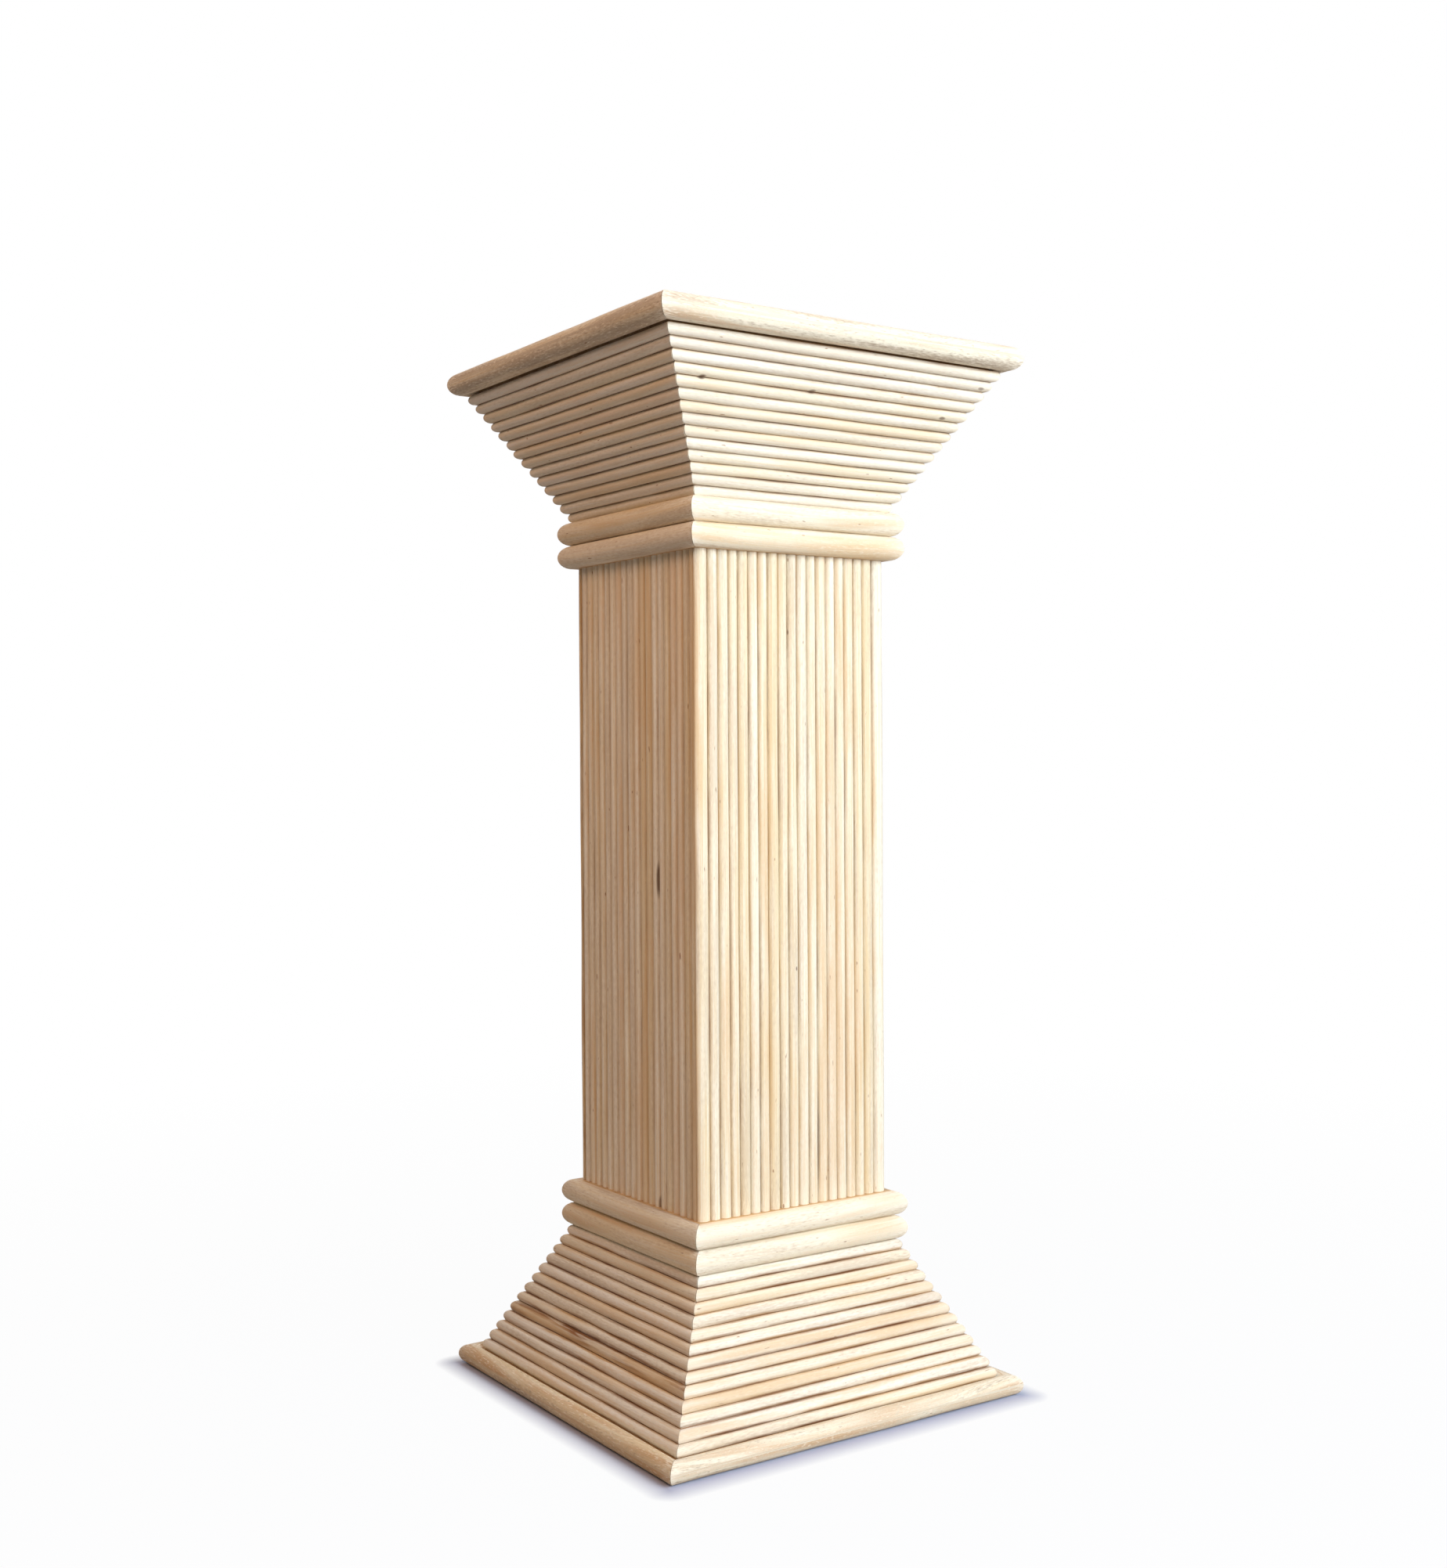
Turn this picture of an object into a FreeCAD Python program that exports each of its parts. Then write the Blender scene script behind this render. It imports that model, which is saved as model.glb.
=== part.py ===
import FreeCAD, Part
import math
import os

from FreeCAD import Vector

# Square pedestal column stand, clad in split reed. All sizes are in millimetres.
#
# The origin is on the floor under the column's axis, +Z is up, and the front faces -Y.
# A plywood box runs from the base board to the top board. Four plywood slopes flare
# out at its foot and four under its head. Split reeds are laid upright on the box and
# level on the slopes, and pairs of half-round bands cover the joints between them.
# Round poles, mitred at the corners, frame the base board and the top board.

# Whole object, over the poles
HEIGHT = 762.0
TOP_HALF = 155.0
BASE_HALF = 152.5

# Round edge poles and the boards that they frame
TOP_POLE_D = 18.0
BASE_POLE_D = 15.0
POLE_GAP = 0.2
VENEER_T = 2.0
BASE_BOARD_T = 12.0

# Box column: outer half width, board thickness, inner corner posts
BOX_HALF = 78.5
BOX_T = 6.0
POST_W = 20.0

# Slopes at the head and the foot, with the battens that hold their wide edges
CAPITAL_H = 99.6
CAPITAL_LIP = 2.8
CAPITAL_REACH = 4.2
BASE_SLOPE_H = 98.6
BASE_LIP = 6.0
BASE_INSET = 0.3
SLOPE_T = 5.0
BATTEN_W = 18.0
BATTEN_H = 20.0

# Half-round bands, two to a joint, on a flat collar
BANDS = 2
BAND_H = 17.6
BAND_DEPTH = 8.8
COLLAR_T = 6.2

# Split reeds: stock width, full thickness at the crown and thickness at the sawn edge
REED_W = 8.5
REED_T = 4.1
REED_EDGE = 0.7
REED_GAP = 0.25
REED_SPREAD = 0.05
CORNER_REED_W = 10.6

# Headless pins, driven below the surface, and the screws that hold the two boards
PIN_D = 1.6
PIN_SET = 3.0
BAND_PIN_L = 15.0
POLE_PIN_L = 32.0
BAND_PIN_INSET = 26.0
POLE_PIN_INSET = 50.0
SCREW_D = 4.0
SCREW_HEAD_D = 8.0
SCREW_HEAD_H = 2.6
SCREW_L = 45.0

# Each side is modelled at the front, facing -Y, and turned about the axis to its place
SIDE_TURNS = {"front": 0.0, "right": 90.0, "back": 180.0, "left": 270.0}

# Heights and half widths that follow from the sizes above
TOP_POLE_R = TOP_POLE_D / 2
BASE_POLE_R = BASE_POLE_D / 2
TOP_BOARD_T = TOP_POLE_D - VENEER_T
TOP_BOARD_TOP = HEIGHT - VENEER_T
TOP_BOARD_Z = HEIGHT - TOP_POLE_D
TOP_BOARD_HALF = TOP_HALF - TOP_POLE_D - POLE_GAP
BASE_BOARD_HALF = BASE_HALF - BASE_POLE_D - POLE_GAP
RING_H = BANDS * BAND_H
NECK_TOP = TOP_BOARD_Z - CAPITAL_H
NECK_BOTTOM = NECK_TOP - RING_H
FOOT_BOTTOM = BASE_BOARD_T + BASE_SLOPE_H
FOOT_TOP = FOOT_BOTTOM + RING_H
COLLAR_HALF = BOX_HALF + COLLAR_T
BAND_HALF = COLLAR_HALF + BAND_DEPTH
BOX_INNER = BOX_HALF - BOX_T
POST_CENTRE = BOX_INNER - POST_W / 2

# A slope's outer face is a line of (half width, height) points, from its narrow edge
# beside the column to its wide edge against a board
CAPITAL_LINE = ((BOX_HALF + CAPITAL_LIP, NECK_TOP), (TOP_BOARD_HALF + CAPITAL_REACH, TOP_BOARD_Z))
BASE_LINE = ((BOX_HALF + BASE_LIP, FOOT_BOTTOM), (BASE_BOARD_HALF - BASE_INSET, BASE_BOARD_T))

# Plan wedge between the two corner mitres of the front side
REACH = 2 * (TOP_HALF + BASE_HALF)
WEDGE_POINTS = [Vector(0, 0, -1), Vector(-REACH, -REACH, -1), Vector(REACH, -REACH, -1), Vector(0, 0, -1)]
WEDGE = Part.Face(Part.makePolygon(WEDGE_POINTS)).extrude(Vector(0, 0, HEIGHT + 2))


def box(x0, x1, y0, y1, z0, z1):
    """Block between two opposite corners."""
    return Part.makeBox(x1 - x0, y1 - y0, z1 - z0, Vector(x0, y0, z0))


def section(points):
    """Face of a closed outline of (half width, height) points, in the plane x = 0 at the front."""
    corners = [Vector(0, -half, z) for half, z in points]
    return Part.Face(Part.makePolygon(corners + corners[:1]))


def front_run(face):
    """Run a section along the front side and cut both its ends to the corner mitres."""
    start = face.copy()
    start.translate(Vector(-REACH, 0, 0))
    return start.extrude(Vector(2 * REACH, 0, 0)).common(WEDGE).Solids[0]


def on_line(line, along, out):
    """Point of the plane x = 0, measured along a slope's line and square out from it."""
    (half0, z0), (half1, z1) = line
    length = math.hypot(half1 - half0, z1 - z0)
    run_half = (half1 - half0) / length
    run_z = (z1 - z0) / length
    side = 1 if run_z < 0 else -1
    half = half0 + run_half * along - side * run_z * out
    z = z0 + run_z * along + side * run_half * out
    return Vector(0, -half, z)


def line_length(line):
    (half0, z0), (half1, z1) = line
    return math.hypot(half1 - half0, z1 - z0)


def half_at(line, depth, z):
    """Half width at height z of the line that lies depth behind a slope's outer face."""
    start = on_line(line, 0, -depth)
    end = on_line(line, line_length(line), -depth)
    return -(start.y + (end.y - start.y) * (z - start.z) / (end.z - start.z))


def pole_bar(nose_half, z, radius, clearance=0.0):
    """Round bar along the front in the place of an edge pole, larger by a clearance."""
    start = Vector(-REACH, radius - nose_half, z)
    return Part.makeCylinder(radius + clearance, 2 * REACH, start, Vector(1, 0, 0))


BASE_POLE_SPACE = pole_bar(BASE_HALF, BASE_POLE_R, BASE_POLE_R, POLE_GAP)
TOP_POLE_SPACE = pole_bar(TOP_HALF, HEIGHT - TOP_POLE_R, TOP_POLE_R, POLE_GAP)


def clear_of_poles(solid):
    """Scribe a piece to the edge poles beside it."""
    return solid.cut([BASE_POLE_SPACE, TOP_POLE_SPACE]).Solids[0]


def turned(solid, side):
    """Copy of a front piece, turned to another side."""
    copy = solid.copy()
    copy.rotate(Vector(0, 0, 0), Vector(0, 0, 1), SIDE_TURNS[side])
    return copy


def all_sides(solids):
    """The same pieces on all four sides."""
    return [turned(solid, side) for side in SIDE_TURNS for solid in solids]


def drilled(solids, cutters):
    """Cut every hole that reaches a solid, and keep it one solid."""
    result = []
    for solid in solids:
        near = [cutter for cutter in cutters if solid.BoundBox.intersect(cutter.BoundBox)]
        result.append(solid.cut(near).Solids[0] if near else solid)
    return result


# Split reeds --------------------------------------------------------------------------


def reed_places(start, end):
    """Start and end of each reed from one edge to another, widths a few per cent apart."""
    count = max(2, round((end - start) / REED_W + 0.2))
    shares = [1 + REED_SPREAD * math.sin(2.4 * index) for index in range(count)]
    scale = (end - start) / sum(shares)
    places = []
    for share in shares:
        places.append((start + REED_GAP / 2, start + share * scale - REED_GAP / 2))
        start += share * scale
    return places


def reed_face(place, start, end):
    """Section of a split reed: a flat back, thin sawn edges and a round crown.

    place(along, out) gives the point that lies along the row of reeds and out from it.
    """
    crown = Part.Arc(place(start, REED_EDGE), place((start + end) / 2, REED_T), place(end, REED_EDGE))
    edges = [
        crown.toShape(),
        Part.makeLine(place(end, REED_EDGE), place(end, 0)),
        Part.makeLine(place(end, 0), place(start, 0)),
        Part.makeLine(place(start, 0), place(start, REED_EDGE)),
    ]
    return Part.Face(Part.Wire(edges))


def upright_reeds(places):
    """Reeds on the front of the box, between the two collars."""
    def place(along, out):
        return Vector(along, -(BOX_HALF + out), FOOT_TOP)

    rise = Vector(0, 0, NECK_BOTTOM - FOOT_TOP)
    return [reed_face(place, start, end).extrude(rise) for start, end in places]


def level_reeds(line):
    """Reeds along a slope, mitred at both ends, from its narrow edge to its wide one.

    The first and the last are planed level with the slope's own edges.
    """
    def place(along, out):
        return on_line(line, along, out)

    low, high = sorted(z for half, z in line)
    level = box(-REACH, REACH, -REACH, 0, low, high)
    reeds = [front_run(reed_face(place, start, end)) for start, end in reed_places(0, line_length(line))]
    return [clear_of_poles(reed.common(level).Solids[0]) for reed in reeds]


# The front and back rows lap over the edges of the side rows, with a wider reed at each end
REED_FACE_HALF = BOX_HALF + REED_T
FIELD_HALF = REED_FACE_HALF - CORNER_REED_W
left_corner = (-REED_FACE_HALF, -FIELD_HALF - REED_GAP / 2)
right_corner = (FIELD_HALF + REED_GAP / 2, REED_FACE_HALF)
lapping_row = upright_reeds([left_corner] + reed_places(-FIELD_HALF, FIELD_HALF) + [right_corner])
lapped_row = upright_reeds(reed_places(-BOX_HALF, BOX_HALF))
capital_reeds = level_reeds(CAPITAL_LINE)
base_reeds = level_reeds(BASE_LINE)

# Boards -------------------------------------------------------------------------------

base_board = box(-BASE_BOARD_HALF, BASE_BOARD_HALF, -BASE_BOARD_HALF, BASE_BOARD_HALF, 0, BASE_BOARD_T)
top_board = box(-TOP_BOARD_HALF, TOP_BOARD_HALF, -TOP_BOARD_HALF, TOP_BOARD_HALF, TOP_BOARD_Z, TOP_BOARD_TOP)
top_veneer = box(-TOP_BOARD_HALF, TOP_BOARD_HALF, -TOP_BOARD_HALF, TOP_BOARD_HALF, TOP_BOARD_TOP, HEIGHT)

# The front and back boards of the box cover the edges of the two side boards
box_front = box(-BOX_HALF, BOX_HALF, -BOX_HALF, -BOX_INNER, BASE_BOARD_T, TOP_BOARD_Z)
box_side = box(-BOX_INNER, BOX_INNER, -BOX_HALF, -BOX_INNER, BASE_BOARD_T, TOP_BOARD_Z)
corner_post = box(-BOX_INNER, POST_W - BOX_INNER, -BOX_INNER, POST_W - BOX_INNER, BASE_BOARD_T, TOP_BOARD_Z)


def slope_board(line):
    """Mitred plywood slope, level at both edges and cut upright where it meets the box."""
    (outer0, z0), (outer1, z1) = line
    inner0 = half_at(line, SLOPE_T, z0)
    inner1 = half_at(line, SLOPE_T, z1)
    board = front_run(section([(outer0, z0), (outer1, z1), (inner1, z1), (inner0, z0)]))
    column = box(-BOX_HALF, BOX_HALF, -BOX_HALF, BOX_HALF, 0, HEIGHT)
    return clear_of_poles(board.cut(column).Solids[0])


def batten(line, z_board, z_free):
    """Mitred batten in the angle between a slope's back and a board."""
    at_board = half_at(line, SLOPE_T, z_board)
    at_free = half_at(line, SLOPE_T, z_free)
    back = at_free - BATTEN_W
    return front_run(section([(at_board, z_board), (at_free, z_free), (back, z_free), (back, z_board)]))


capital_slope = slope_board(CAPITAL_LINE)
base_slope = slope_board(BASE_LINE)
capital_batten = batten(CAPITAL_LINE, TOP_BOARD_Z, TOP_BOARD_Z - BATTEN_H)
base_batten = batten(BASE_LINE, BASE_BOARD_T, BASE_BOARD_T + BATTEN_H)

# Collars, bands and poles -------------------------------------------------------------


def collar(z):
    outline = [(BOX_HALF, z), (COLLAR_HALF, z), (COLLAR_HALF, z + RING_H), (BOX_HALF, z + RING_H)]
    return front_run(section(outline))


def band(z):
    """Half-round band with its flat back on the collar."""
    low = Vector(0, -COLLAR_HALF, z)
    nose = Vector(0, -BAND_HALF, z + BAND_H / 2)
    high = Vector(0, -COLLAR_HALF, z + BAND_H)
    wire = Part.Wire([Part.Arc(low, nose, high).toShape(), Part.makeLine(high, low)])
    return front_run(Part.Face(wire))


def edge_pole(nose_half, z, radius):
    return pole_bar(nose_half, z, radius).common(WEDGE).Solids[0]


# Every band of both rings, named from the top down
band_heights = {}
for index in range(BANDS):
    band_heights["neck_band_%d" % (index + 1)] = NECK_TOP - (index + 1) * BAND_H
    band_heights["foot_band_%d" % (index + 1)] = FOOT_TOP - (index + 1) * BAND_H
pole_places = {
    "top_pole": (TOP_HALF, HEIGHT - TOP_POLE_R, TOP_POLE_R, TOP_BOARD_Z + TOP_BOARD_T / 2),
    "base_pole": (BASE_HALF, BASE_POLE_R, BASE_POLE_R, BASE_BOARD_T / 2),
}

# Pins and screws ----------------------------------------------------------------------


def front_pin(x, nose_half, z, length):
    """Headless pin driven square into the front, its head sunk below the surface."""
    return Part.makeCylinder(PIN_D / 2, length, Vector(x, -(nose_half - PIN_SET), z), Vector(0, 1, 0))


def board_screw(z_head, inward):
    """Countersunk screw down a corner post, its head flush with the board's face."""
    start = Vector(-POST_CENTRE, -POST_CENTRE, z_head)
    drive = Vector(0, 0, inward)
    head = Part.makeCone(SCREW_HEAD_D / 2, SCREW_D / 2, SCREW_HEAD_H, start, drive)
    shank = Part.makeCylinder(SCREW_D / 2, SCREW_L - SCREW_HEAD_H, start + drive * SCREW_HEAD_H, drive)
    return head.fuse(shank).removeSplitter().Solids[0]


band_pin_x = BAND_HALF - BAND_PIN_INSET
band_pins = []
for z in band_heights.values():
    for x in (-band_pin_x, band_pin_x):
        band_pins.append(front_pin(x, BAND_HALF, z + BAND_H / 2, BAND_PIN_L))
band_pins = all_sides(band_pins)
pole_pins = {}
for name, (nose_half, pole_z, pole_r, pin_z) in pole_places.items():
    pin_x = nose_half - POLE_PIN_INSET
    row = [front_pin(x, nose_half, pin_z, POLE_PIN_L) for x in (-pin_x, 0, pin_x)]
    pole_pins[name] = all_sides(row)
board_screws = all_sides([board_screw(TOP_BOARD_TOP, -1), board_screw(0, 1)])

# Nodes --------------------------------------------------------------------------------

nodes = {
    "base_board": drilled([base_board], pole_pins["base_pole"] + board_screws),
    "top_board": drilled([top_board], pole_pins["top_pole"] + board_screws),
    "top_veneer": [top_veneer],
    "corner_posts": drilled(all_sides([corner_post]), board_screws),
    "capital_battens": all_sides([capital_batten]),
    "base_battens": all_sides([base_batten]),
    "neck_collar": drilled(all_sides([collar(NECK_BOTTOM)]), band_pins),
    "foot_collar": drilled(all_sides([collar(FOOT_BOTTOM)]), band_pins),
    "band_pins": band_pins,
    "top_pole_pins": pole_pins["top_pole"],
    "base_pole_pins": pole_pins["base_pole"],
    "board_screws": board_screws,
}
for side in SIDE_TURNS:
    laps = side in ("front", "back")
    box_board = box_front if laps else box_side
    shaft_row = lapping_row if laps else lapped_row
    nodes["box_" + side] = drilled([turned(box_board, side)], band_pins)
    nodes["shaft_reeds_" + side] = [turned(reed, side) for reed in shaft_row]
    nodes["capital_slope_" + side] = [turned(capital_slope, side)]
    nodes["capital_reeds_" + side] = [turned(reed, side) for reed in capital_reeds]
    nodes["base_slope_" + side] = [turned(base_slope, side)]
    nodes["base_reeds_" + side] = [turned(reed, side) for reed in base_reeds]
    for name, z in band_heights.items():
        nodes[name + "_" + side] = drilled([turned(band(z), side)], band_pins)
    for name, (nose_half, pole_z, pole_r, pin_z) in pole_places.items():
        pole = turned(edge_pole(nose_half, pole_z, pole_r), side)
        nodes[name + "_" + side] = drilled([pole], pole_pins[name])

os.makedirs("parts", exist_ok=True)
for name, solids in nodes.items():
    for solid in solids:
        if not solid.isValid() or solid.Volume <= 0:
            raise ValueError("bad solid in " + name)
    shape = solids[0] if len(solids) == 1 else Part.makeCompound(solids)
    shape.exportStep("parts/" + name + ".step")
print(len(nodes), "nodes,", sum(len(solids) for solids in nodes.values()), "solids")
print("reeds per side: capital", len(capital_reeds), "base", len(base_reeds),
      "shaft front", len(lapping_row), "shaft side", len(lapped_row))
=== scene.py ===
import math

import bpy
import numpy as np
from mathutils import Matrix, Vector


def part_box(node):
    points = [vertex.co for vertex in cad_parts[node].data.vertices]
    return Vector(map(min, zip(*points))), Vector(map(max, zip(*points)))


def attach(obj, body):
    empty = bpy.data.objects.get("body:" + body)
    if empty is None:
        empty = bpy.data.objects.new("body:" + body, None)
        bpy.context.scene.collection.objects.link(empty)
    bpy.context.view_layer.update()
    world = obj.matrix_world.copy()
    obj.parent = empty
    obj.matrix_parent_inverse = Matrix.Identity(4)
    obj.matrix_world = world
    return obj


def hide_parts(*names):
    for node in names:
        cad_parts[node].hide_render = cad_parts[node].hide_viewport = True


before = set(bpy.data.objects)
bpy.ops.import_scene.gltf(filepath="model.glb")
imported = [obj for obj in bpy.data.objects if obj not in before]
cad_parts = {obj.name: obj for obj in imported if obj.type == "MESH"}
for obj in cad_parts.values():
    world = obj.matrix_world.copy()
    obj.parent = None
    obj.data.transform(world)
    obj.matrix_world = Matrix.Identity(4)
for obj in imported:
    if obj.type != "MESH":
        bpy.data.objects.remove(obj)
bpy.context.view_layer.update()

# Lengths are in metres, in the frame of the solids: the floor is z = 0, the column's
# axis is x = y = 0, and the front faces -Y.


# Camera -------------------------------------------------------------------------------
# The stand is seen corner on from a little over half its height, with its front to the
# right of the near corner and its left side to the left of it.

PHOTO_HEIGHT_PX = 2003
LENS_PX = 2341.6
LENS_SENSOR = 36.0
CAMERA_DISTANCE = 1.36975
CAMERA_HEIGHT = 0.461
CAMERA_ROUND = math.radians(-34.25)
CAMERA_YAW = math.radians(0.18)
CAMERA_PITCH = math.radians(-0.63)
CAMERA_ROLL = math.radians(-0.34)


def camera_turn(azimuth, pitch, roll):
    """Rotation whose view direction has that azimuth from +Y and that pitch above level,
    with the picture's upright leaned by the roll."""
    level = math.cos(pitch)
    ahead = Vector((-math.sin(azimuth) * level, math.cos(azimuth) * level, math.sin(pitch)))
    right = Vector((math.cos(azimuth), math.sin(azimuth), 0))
    up = right.cross(ahead)
    leaned_right = right * math.cos(roll) + up * math.sin(roll)
    leaned_up = up * math.cos(roll) - right * math.sin(roll)
    return Matrix((leaned_right, leaned_up, -ahead)).transposed()


lens = bpy.data.cameras.new("photo_lens")
lens.sensor_width = LENS_SENSOR
lens.lens = LENS_PX / PHOTO_HEIGHT_PX * LENS_SENSOR
camera = bpy.data.objects.new("photo_camera", lens)
camera_place = Vector((math.sin(CAMERA_ROUND), -math.cos(CAMERA_ROUND), 0)) * CAMERA_DISTANCE
camera_place.z = CAMERA_HEIGHT
camera_frame = camera_turn(CAMERA_ROUND + CAMERA_YAW, CAMERA_PITCH, CAMERA_ROLL)
camera.matrix_world = Matrix.Translation(camera_place) @ camera_frame.to_4x4()
bpy.context.scene.collection.objects.link(camera)
bpy.context.scene.camera = camera


# Shaft reeds --------------------------------------------------------------------------
# Upright lengths of rattan core, split down the middle, limed and glued flat side down
# on the plywood box. The front and back rows lap over the edges of the two side rows,
# so they end in a wider reed at each corner.

SIDES = ("front", "right", "back", "left")
REED_WIDTH = 0.0085
REED_GAP = 0.00025
REED_EDGE = 0.0007
CORNER_REED_WIDTH = 0.0106
CROWN_STEPS = 11
SHAFT_STEPS = 31
SHAFT_SEED = 100

# How far the widths in a row differ, as a share, the angle of their sine from one reed to
# the next, and the share of a reed that makes a row round up to one more
REED_SPREAD = 0.05
SPREAD_TURN = 2.4
ROUND_UP = 0.2

# How far a reed bows in metres, draws in and thins as a share of its width and thickness,
# and leans as a slope, and how many waves each of these makes along it
REED_BOW = 0.00022
REED_SHRINK = 0.016
REED_THIN = 0.09
REED_CANT = 0.08
WAVES_LEAST = 0.4
WAVES_MOST = 3.2

# Length over which wear fades from a mitred end, the furthest the grain is shifted from
# bar to bar, and the least angle that shades as a sharp edge
TIP_LENGTH = 0.006
GRAIN_SHIFT = 9.0
SHARP_ANGLE = math.radians(50)

# Where two reeds have parted: place across the row, height, half length and width
PARTINGS = {
    "front": [(0.0213, 0.190, 0.030, 0.0006)],
    "left": [(0.0316, 0.379, 0.014, 0.0008), (0.0267, 0.147, 0.010, 0.0008)],
}


def linear(colour):
    """Linear RGBA of an 8-bit screen colour."""
    screen = np.asarray(colour) / 255
    low = screen / 12.92
    high = ((screen + 0.055) / 1.055) ** 2.4
    return (*np.where(screen < 0.04045, low, high), 1.0)


def turned(points, side):
    """Front points turned about the column's axis by the side's quarter turns."""
    cosine = (1, 0, -1, 0)[SIDES.index(side)]
    sine = (0, 1, 0, -1)[SIDES.index(side)]
    x, y, z = np.moveaxis(points, -1, 0)
    return np.stack((cosine * x - sine * y, sine * x + cosine * y, z), -1)


def reed_places(start, end):
    """Arrays of where the reeds of a row start and end. Their widths swing a few per cent
    about the stock width, as one plus the spread times a sine of the reed's number."""
    count = max(2, round((end - start) / REED_WIDTH + ROUND_UP))
    shares = 1 + REED_SPREAD * np.sin(SPREAD_TURN * np.arange(count))
    joints = start + (end - start) * np.concatenate(([0], np.cumsum(shares))) / shares.sum()
    return joints[:-1] + REED_GAP / 2, joints[1:] - REED_GAP / 2


def slow_waves(random, bars, steps, height):
    """Gentle waves along each bar: three sines of random length and phase, added up to at
    most that height."""
    along = np.linspace(0, 1, steps)
    cycles = random.uniform(WAVES_LEAST, WAVES_MOST, (bars, 3, 1))
    phases = random.uniform(0, 2 * np.pi, (bars, 3, 1))
    return height / 3 * np.sin(2 * np.pi * cycles * along + phases).sum(1)


def split_section(random, start, end, thickness):
    """Section of split reeds, as (across, out, edge) arrays with the points round the
    section on the last axis. The crown is an arc from one sawn edge to the other through
    the full thickness, leaned by a random slope for each reed, and the back is flat. edge
    is 0 on the crown and 1 at its ends."""
    rise = thickness - REED_EDGE
    half = (end - start) / 2
    radius = (half ** 2 + rise ** 2) / (2 * rise)
    spread = np.arctan2(half, radius - rise)[..., None] * np.linspace(-1, 1, CROWN_STEPS)
    lean = radius[..., None] * np.sin(spread)
    across = ((start + end) / 2)[..., None] + lean
    cant = random.uniform(-REED_CANT, REED_CANT, (len(start), *[1] * start.ndim))
    out = thickness[..., None] + radius[..., None] * (np.cos(spread) - 1) + cant * lean
    edge = np.abs(np.linspace(-1, 1, CROWN_STEPS)) + 0 * out
    start, end = start[..., None], end[..., None]
    across = np.concatenate((across, end, start), -1)
    out = np.concatenate((out, 0 * end, 0 * start), -1)
    return across, out, np.concatenate((edge, 0 * end + 1, 0 * start + 1), -1)


def bars(name, points, edge, random, material):
    """One object of closed bars, from points of shape (bar, step along, step round, xyz).

    Each ring is joined to the next by quads and the two end rings are filled. The UV map
    grain holds metres along and round each bar, shifted by a random step from bar to bar.
    The attributes are tone and blush, random numbers from -1 to 1 for each bar, edge, which
    runs from the crown to the joints and sets where stain and painted shade fall, and tip,
    1 at both ends of a bar and 0 along it."""
    count, steps, around = points.shape[:3]
    ids = np.arange(count * steps * around).reshape(count, steps, around)
    here, ahead = ids[:, :-1], ids[:, 1:]
    walls = np.stack((here, np.roll(here, -1, 2), np.roll(ahead, -1, 2), ahead), -1)
    ends = np.concatenate((ids[:, 0, ::-1], ids[:, -1]))
    mesh = bpy.data.meshes.new(name)
    faces = walls.reshape(-1, 4).tolist() + ends.tolist()
    mesh.from_pydata(points.reshape(-1, 3).tolist(), [], faces)
    run = np.linalg.norm(np.diff(points, axis=1), axis=-1)
    run = np.concatenate((np.zeros((count, 1, around)), run.cumsum(1)), 1)
    girth = np.linalg.norm(np.diff(points, axis=2), axis=-1)
    girth = np.concatenate((np.zeros((count, steps, 1)), girth.cumsum(2)), 2)
    shift = random.uniform(0, GRAIN_SHIFT, (count, 1, 1, 2))
    grain = (np.stack((run, girth), -1) + shift).reshape(-1, 2)
    corner = np.zeros(len(mesh.loops), int)
    mesh.loops.foreach_get("vertex_index", corner)
    mesh.uv_layers.new(name="grain").data.foreach_set("uv", grain[corner].ravel())
    tone, blush = random.uniform(-1, 1, (2, count, 1, 1))
    tip = np.exp(-np.minimum(run, run[:, -1:] - run) / TIP_LENGTH)
    for label, values in (("tone", tone), ("blush", blush), ("edge", edge), ("tip", tip)):
        layer = mesh.attributes.new(label, "FLOAT", "POINT")
        values = np.broadcast_to(values, ids.shape).ravel()
        layer.data.foreach_set("value", values.astype(np.float32))
    mesh.shade_smooth()
    mesh.set_sharp_from_angle(angle=SHARP_ANGLE)
    mesh.materials.append(material)
    piece = bpy.data.objects.new(name, mesh)
    bpy.context.scene.collection.objects.link(piece)
    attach(piece, "root")
    return piece


def add_node(tree, kind, inputs=(), **settings):
    """Shader node with its settings made, and each input set to its value or linked to its
    socket."""
    node = tree.nodes.new("ShaderNode" + kind)
    for name, value in settings.items():
        setattr(node, name, value)
    for key, value in dict(inputs).items():
        if isinstance(value, bpy.types.NodeSocket):
            tree.links.new(value, node.inputs[key])
        else:
            node.inputs[key].default_value = value
    return node


def new_group(name, takes, gives):
    """Empty shader group with named sockets, as (group, input node, output node)."""
    group = bpy.data.node_groups.new(name, "ShaderNodeTree")
    for label, kind in takes.items():
        group.interface.new_socket(label, in_out="INPUT", socket_type="NodeSocket" + kind)
    for label, kind in gives.items():
        group.interface.new_socket(label, in_out="OUTPUT", socket_type="NodeSocket" + kind)
    return group, group.nodes.new("NodeGroupInput"), group.nodes.new("NodeGroupOutput")


def maths(tree, operation, *values):
    """Result of one Math node."""
    return add_node(tree, "Math", enumerate(values), operation=operation).outputs[0]


def grained(tree, vector, along, across, detail):
    """Noise drawn out along a surface: that many metres long and wide."""
    stretch = {0: vector, 1: (1 / along, 1 / across, 1)}
    scaled = add_node(tree, "VectorMath", stretch, operation="MULTIPLY").outputs[0]
    look = {"Vector": scaled, "Scale": 1.0, "Detail": detail}
    return add_node(tree, "TexNoise", look).outputs[0]


def ramped(tree, value, low, high, to_low=0.0, to_high=1.0):
    """Value moved from one range to another, held at both ends."""
    span = {0: value, 1: low, 2: high, 3: to_low, 4: to_high}
    return add_node(tree, "MapRange", span).outputs[0]


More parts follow.
